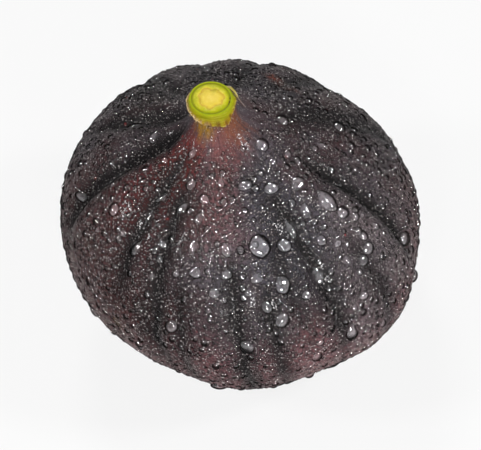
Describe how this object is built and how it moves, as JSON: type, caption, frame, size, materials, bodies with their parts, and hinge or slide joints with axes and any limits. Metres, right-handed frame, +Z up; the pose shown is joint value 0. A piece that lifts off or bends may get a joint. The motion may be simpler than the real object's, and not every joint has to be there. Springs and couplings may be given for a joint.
{
  "type": "fresh fig",
  "caption": "Ripe dark fig with a short neck, furrowed skin, an eye under its base, beads of water and a cut green stem stub.",
  "frame": {"origin": "middle of the bounding box, on the surface that the fig stands on", "axes": "+Z up the fig from its eye to its stem, -Y towards the side that the picture shows"},
  "size_m": [0.0602, 0.0606, 0.0528],
  "materials": {
    "skin": "waxy purple-black skin with a grey bloom, wet",
    "stem": "fresh yellow-green bark and pale cut pith",
    "water": "clear water, wet and smooth"
  },
  "bodies": {
    "root": {"fruit": "skin", "stem": "stem"}
  },
  "joints": []
}
